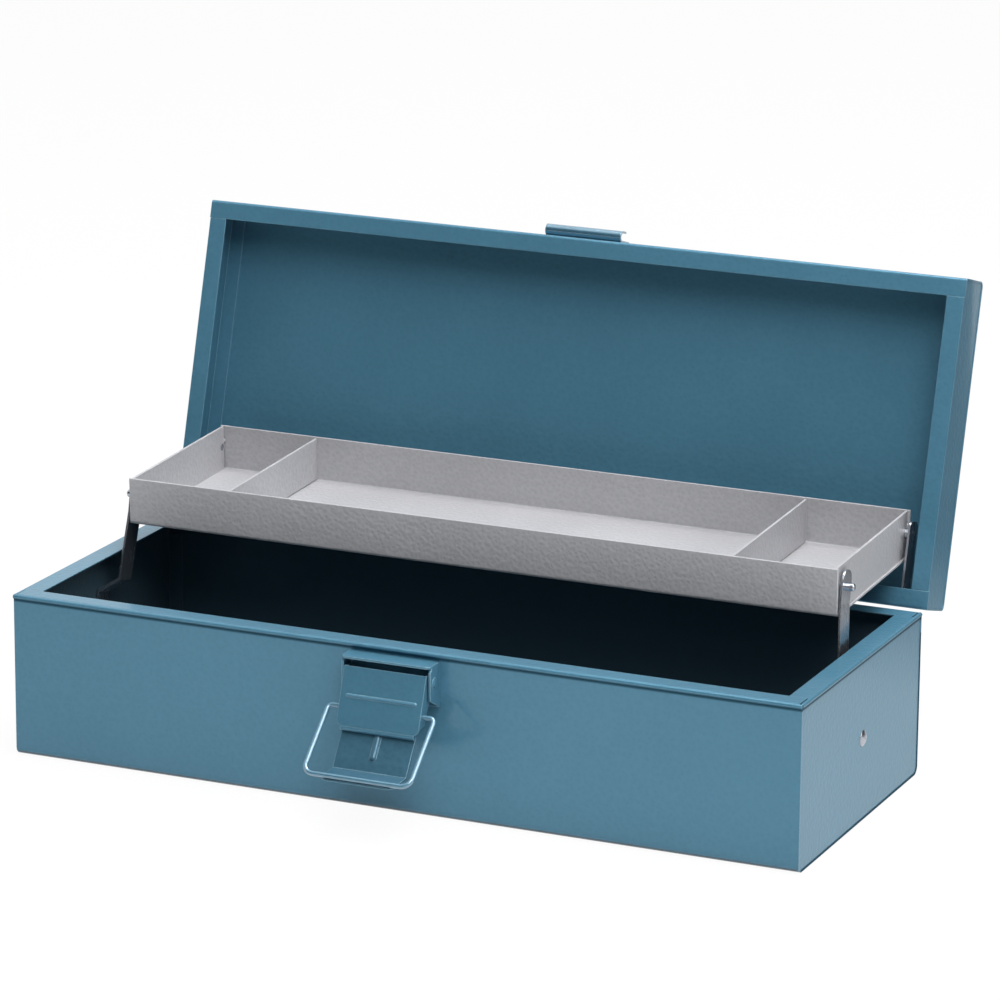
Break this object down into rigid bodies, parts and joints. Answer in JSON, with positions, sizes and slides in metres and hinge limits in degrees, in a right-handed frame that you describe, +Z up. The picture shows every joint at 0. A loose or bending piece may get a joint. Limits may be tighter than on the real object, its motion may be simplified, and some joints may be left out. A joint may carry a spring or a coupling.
{
  "type": "cantilever tool box",
  "caption": "Open sheet-steel tool box with a hinged lid, a divided tray lifted by the lid's arms, a front draw latch with a wire bail and a lid handle",
  "frame": {"origin": "centre of the body's flat underside, on the base_face mount", "axes": "+X along the box to the right seen from the latch side, +Y towards the hinges, +Z up; stored open as pictured"},
  "size_m": [0.4022, 0.2752, 0.234],
  "materials": {
    "blue_paint": "hammertone enamel",
    "grey_paint": "silver-grey hammertone enamel",
    "zinc_steel": "bright zinc plating"
  },
  "bodies": {
    "body": {"body_shell": "blue_paint", "body_end_left": "blue_paint", "body_end_right": "blue_paint", "hinge_body_leaf_left": "blue_paint", "hinge_body_leaf_right": "blue_paint", "hinge_pin_left": "blue_paint", "hinge_pin_right": "blue_paint", "arm_wall_rivets": "zinc_steel", "latch_bracket": "blue_paint", "latch_pin": "blue_paint"},
    "lid": {"lid_shell": "blue_paint", "lid_end_left": "blue_paint", "lid_end_right": "blue_paint", "lid_catch": "blue_paint", "hinge_lid_leaf_left": "blue_paint", "hinge_lid_leaf_right": "blue_paint", "rear_arm_left": "zinc_steel", "rear_arm_right": "zinc_steel", "handle_saddle_left": "blue_paint", "handle_saddle_right": "blue_paint"},
    "tray": {"tray_shell": "grey_paint", "tray_end_left": "grey_paint", "tray_end_right": "grey_paint", "tray_divider_left": "grey_paint", "tray_divider_right": "grey_paint", "tray_front_pins": "zinc_steel", "tray_rear_pins": "zinc_steel"},
    "front_arm_left": {"front_arm_left": "zinc_steel", "front_arm_rivet_left": "zinc_steel"},
    "front_arm_right": {"front_arm_right": "zinc_steel", "front_arm_rivet_right": "zinc_steel"},
    "latch_lever": {"latch_flap": "blue_paint", "latch_tongue": "blue_paint"},
    "latch_bail": {"latch_bail": "blue_paint"},
    "handle": {"handle_bail": "zinc_steel"}
  },
  "joints": [
    {"name": "lid_hinge", "type": "hinge", "parent": "body", "child": "lid", "pos_m": [0, 0.082, 0.0768], "axis": [1, 0, 0], "range_deg": [0, 106]},
    {"name": "tray_rear_pivot", "type": "hinge", "parent": "lid", "child": "tray", "pos_m": [0, 0.10276, 0.11038], "axis": [1, 0, 0], "range_deg": [-110.81, 0]},
    {"name": "front_arm_left_pivot", "type": "hinge", "parent": "tray", "child": "front_arm_left", "pos_m": [0, 0.01621, 0.10736], "axis": [1, 0, 0], "range_deg": [0, 57.3]},
    {"name": "front_arm_right_pivot", "type": "hinge", "parent": "tray", "child": "front_arm_right", "pos_m": [0, 0.01621, 0.10736], "axis": [1, 0, 0], "range_deg": [0, 57.3]},
    {"name": "latch_lever_pivot", "type": "hinge", "parent": "body", "child": "latch_lever", "pos_m": [0, -0.085, 0.0677], "axis": [1, 0, 0], "range_deg": [-75, 0]},
    {"name": "latch_bail_pivot", "type": "hinge", "parent": "latch_lever", "child": "latch_bail", "pos_m": [0, -0.09311, 0.05336], "axis": [1, 0, 0], "range_deg": [-90, 0]},
    {"name": "handle_pivot", "type": "hinge", "parent": "lid", "child": "handle", "pos_m": [0, 0.13632, 0.14653], "axis": [1, 0, 0], "range_deg": [-15, 160]}
  ],
  "couplings": [
    {"joint": "tray_rear_pivot", "follows": "lid_hinge", "ratio": -1.0453},
    {"joint": "front_arm_left_pivot", "follows": "lid_hinge", "ratio": 0.54043},
    {"joint": "front_arm_right_pivot", "follows": "lid_hinge", "ratio": 0.54043}
  ]
}
